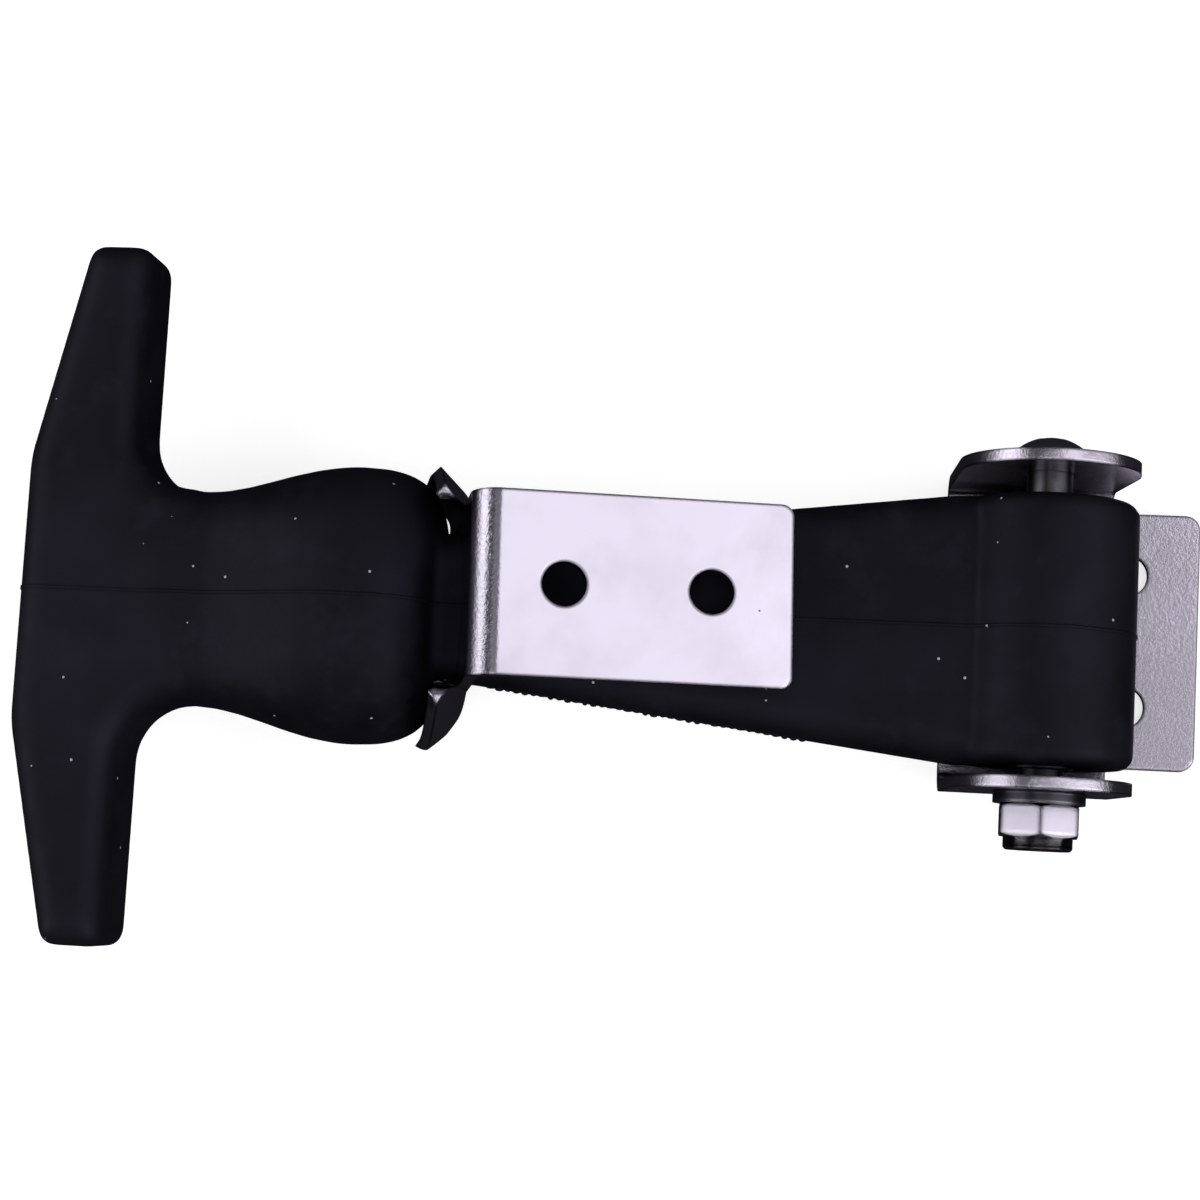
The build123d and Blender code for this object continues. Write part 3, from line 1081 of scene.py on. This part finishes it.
@dataclass(frozen=True)
class Softbox:
    """A square light: its side, and how bright the metal sees it, where 1 is white."""

    name: str
    place: tuple[float, float, float]
    side: float
    glow: float

    @property
    def watts(self) -> float:
        """The power that gives a square light this glow."""
        return self.glow * pi * self.side**2


@dataclass
class Studio:
    """A plain pale sweep, soft light from above and the camera over the latch."""

    camera_place: tuple[float, float, float] = (-31.13 * MM, -36.34 * MM, 350.61 * MM)
    camera_turn: tuple[float, float, float] = (0.1165, 0.1103, 0.0545)
    lens_mm: float = 76.24
    sweep_half: float = 2.5
    sweep_tone: str = "#f4f4f5"
    sweep_in_metal: str = "#2f2e34"
    sweep_glow: float = 0.72
    latch_middle: tuple[float, float, float] = (-0.07, 0.0, 0.015)
    softboxes: tuple[Softbox, ...] = (
        Softbox("softbox_flange", (0.22, 0.18, 0.6), 0.26, 0.92),
        Softbox("softbox_bend", (-0.5, 0.24, 0.33), 0.3, 1.2),
        Softbox("softbox_sheen", (-0.06, -0.17, 0.6), 0.12, 1.2),
    )
    panels_along: Bands = (
        (-1.0, 0.3),
        (-0.92, 0.85),
        (-0.62, 0.85),
        (-0.56, 0.08),
        (-0.26, 0.08),
        (-0.18, 0.4),
        (0.17, 0.42),
        (0.19, 0.34),
        (0.43, 0.36),
        (0.5, 0.85),
        (0.75, 0.95),
        (0.85, 1.0),
        (0.92, 1.0),
        (1.0, 0.4),
    )
    panels_across: Bands = (
        (-0.7, 0.8),
        (-0.3, 2.2),
        (-0.05, 1.05),
        (0.12, 1.0),
        (0.2, 0.45),
        (0.9, 0.3),
    )
    horizon: Bands = ((-0.05, 0.1), (0.12, 1.0))

    def build_floor(self) -> None:
        """The pale sweep that the latch lies on."""
        low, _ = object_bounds()
        half = self.sweep_half
        mesh = bpy.data.meshes.new("sweep")
        corners = [(-half, -half), (half, -half), (half, half), (-half, half)]
        mesh.from_pydata([(x, y, low.z - 0.05 * MM) for x, y in corners], [], [(0, 1, 2, 3)])
        made = bpy.data.materials.new("matt_white_sweep")
        made.use_nodes = True
        shader = made.node_tree.nodes["Principled BSDF"]
        shader.inputs["Base Color"].default_value = linear(self.sweep_tone)
        shader.inputs["Roughness"].default_value = 0.9
        shader.inputs["Specular IOR Level"].default_value = 0.1
        shader.inputs["Emission Color"].default_value = (1.0, 1.0, 1.0, 1.0)
        shader.inputs["Emission Strength"].default_value = self.sweep_glow
        tree = made.node_tree
        dim = add_node(tree, "ShaderNodeBsdfDiffuse", {"Color": linear(self.sweep_in_metal)})
        seen = add_node(tree, "ShaderNodeLightPath").outputs["Is Camera Ray"]
        mixed = add_node(tree, "ShaderNodeMixShader", {0: seen, 1: dim.outputs[0], 2: shader.outputs[0]})
        tree.links.new(mixed.outputs[0], tree.nodes["Material Output"].inputs["Surface"])
        mesh.materials.append(made)
        link_object("sweep", mesh)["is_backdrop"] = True

    def build_light(self, box: Softbox) -> None:
        """Hangs one softbox, turned towards the latch's middle."""
        data = bpy.data.lights.new(box.name, "AREA")
        data.shape = "SQUARE"
        data.size = box.side
        data.energy = box.watts
        lamp = link_object(box.name, data)
        lamp.location = box.place
        lamp.rotation_euler = (
            (Vector(box.place) - Vector(self.latch_middle)).to_track_quat("Z", "Y").to_euler()
        )

    def _banded(self, tree: bpy.types.NodeTree, direction: Any, levels: Bands) -> Any:
        """Grey levels set out along one part of the direction, which runs from -1 to 1."""
        inputs = {"Value": direction, "From Min": -1.0, "From Max": 1.0}
        share = add_node(tree, "ShaderNodeMapRange", inputs)
        stops = [((place + 1) / 2, level) for place, level in levels]
        return ramp(tree, share.outputs["Result"], stops)

    def build_world(self) -> None:
        """A pale room for the camera, and light and dark panels for the metal to mirror."""
        world = bpy.data.worlds.new("studio")
        bpy.context.scene.world = world
        world.use_nodes = True
        tree = world.node_tree
        tree.nodes.clear()
        toward = add_node(tree, "ShaderNodeTexCoord").outputs["Generated"]
        parts = add_node(tree, "ShaderNodeSeparateXYZ", {"Vector": toward})
        shade = self._banded(tree, parts.outputs["X"], self.panels_along)
        for axis, levels in (("Y", self.panels_across), ("Z", self.horizon)):
            level = self._banded(tree, parts.outputs[axis], levels)
            shade = blend(tree, 1.0, shade, level, kind="MULTIPLY")
        room = add_node(tree, "ShaderNodeBackground", {"Color": shade, "Strength": 1.0})
        pale = add_node(tree, "ShaderNodeBackground", {"Color": linear(self.sweep_tone), "Strength": 1.0})
        seen = add_node(tree, "ShaderNodeLightPath").outputs["Is Camera Ray"]
        mixed = add_node(tree, "ShaderNodeMixShader", {0: seen, 1: room.outputs[0], 2: pale.outputs[0]})
        add_node(tree, "ShaderNodeOutputWorld", {"Surface": mixed.outputs[0]})

    def build_camera(self) -> None:
        """The camera, nearly overhead and a little to the base bracket's side."""
        data = bpy.data.cameras.new("camera")
        data.lens = self.lens_mm
        data.sensor_width = 36.0
        data.clip_start = 0.01
        data.clip_end = 20.0
        camera = link_object("camera", data)
        camera.location = self.camera_place
        camera.rotation_euler = Euler(self.camera_turn, "XYZ")
        bpy.context.scene.camera = camera

    def build(self) -> None:
        """Sets out the floor, the lights, the world and the camera."""
        self.build_floor()
        for box in self.softboxes:
            self.build_light(box)
        self.build_world()
        self.build_camera()
        bpy.context.scene.view_settings.view_transform = "Standard"


# ------------------------------------------------------------------ the whole latch
def logged(piece: bpy.types.Object) -> bpy.types.Object:
    """Reports a finished piece through the log and hands it on."""
    LOG.info("%s: %d faces", piece.name, len(piece.data.polygons))
    return piece


def add_sheets(axes: KeeperAxes) -> None:
    """Builds and dresses the two pressed brackets.

    Args:
        axes: the keeper's own directions.
    """
    bend_at = axes.slot_centre.dot(axes.along)
    mirror = ZincPlate(
        "bright_zinc_keeper",
        Polish.MIRROR,
        worn_along=tuple(axes.along),
        worn_from=bend_at - 0.3 * MM,
        worn_to=bend_at + 4.2 * MM,
    ).material()
    grained = ZincPlate("bright_zinc_base", Polish.GRAINED).material()
    sheared = ShearedSteel().material()
    keeper = SheetPiece("keeper_bracket", "handle", "plated_sheet", axes.is_rim, trim=axes.trim_fork)
    base = SheetPiece("base_bracket", "base", "plated_sheet", base_rim)
    for sheet, skin in ((keeper, mirror), (base, grained)):
        sheet.dress(logged(sheet.build()), skin, sheared)


def add_hardware() -> None:
    """Builds and dresses the bolt with its thread, the washer, the lock nut and the sleeve."""
    satin = ZincPlate("satin_zinc_bolt", Polish.SATIN, tone="#bbb8c4", dull_tone="#9c99a5").material()
    # the wide edge_mm gives the nut's facets broad painted dark outlines and painted highlights
    bright = ZincPlate("bright_zinc_nut", Polish.MIRROR, ripple_mm=1.1, edge_mm=1.3).material()
    dull = ZincPlate("dull_zinc_washer", Polish.SATIN, tone="#5d5a66", dull_tone="#44424c").material()
    nylon = NaturalNylon().material()
    hardware = PivotHardware()
    turned = (
        ("pivot_bolt", satin, "base", "plated_hardware"),
        ("flat_washer", dull, "base", "plated_hardware"),
        ("lock_nut", bright, "base", "plated_hardware"),
        ("nylon_insert", nylon, "base", "nylon"),
        ("pivot_sleeve", satin, "handle", "plated_hardware"),
    )
    for node, metal, body, slot in turned:
        hardware.dress(logged(hardware.build_turned(node)), metal, body, slot, node)
    hardware.dress(logged(hardware.build_thread(satin)), satin, "base", "plated_hardware", None)


def add_handle() -> None:
    """Builds and dresses the rubber moulding, its parting flash and its trimmed flash."""
    rubber = MouldedRubber().material()
    handle = RubberHandle()
    moulding = handle.build_body()
    flash = handle.build_flash(moulding, rubber)
    beads = handle.build_beads(rubber)
    for piece in (moulding, flash, beads):
        handle.dress(logged(piece), rubber, piece is moulding)


def main() -> None:
    """Builds and dresses each piece, then the studio."""
    logging.basicConfig(level=logging.INFO, format="%(name)s: %(message)s")
    add_sheets(KeeperAxes())
    add_hardware()
    add_handle()
    Studio().build()


if __name__ == "__main__":
    main()
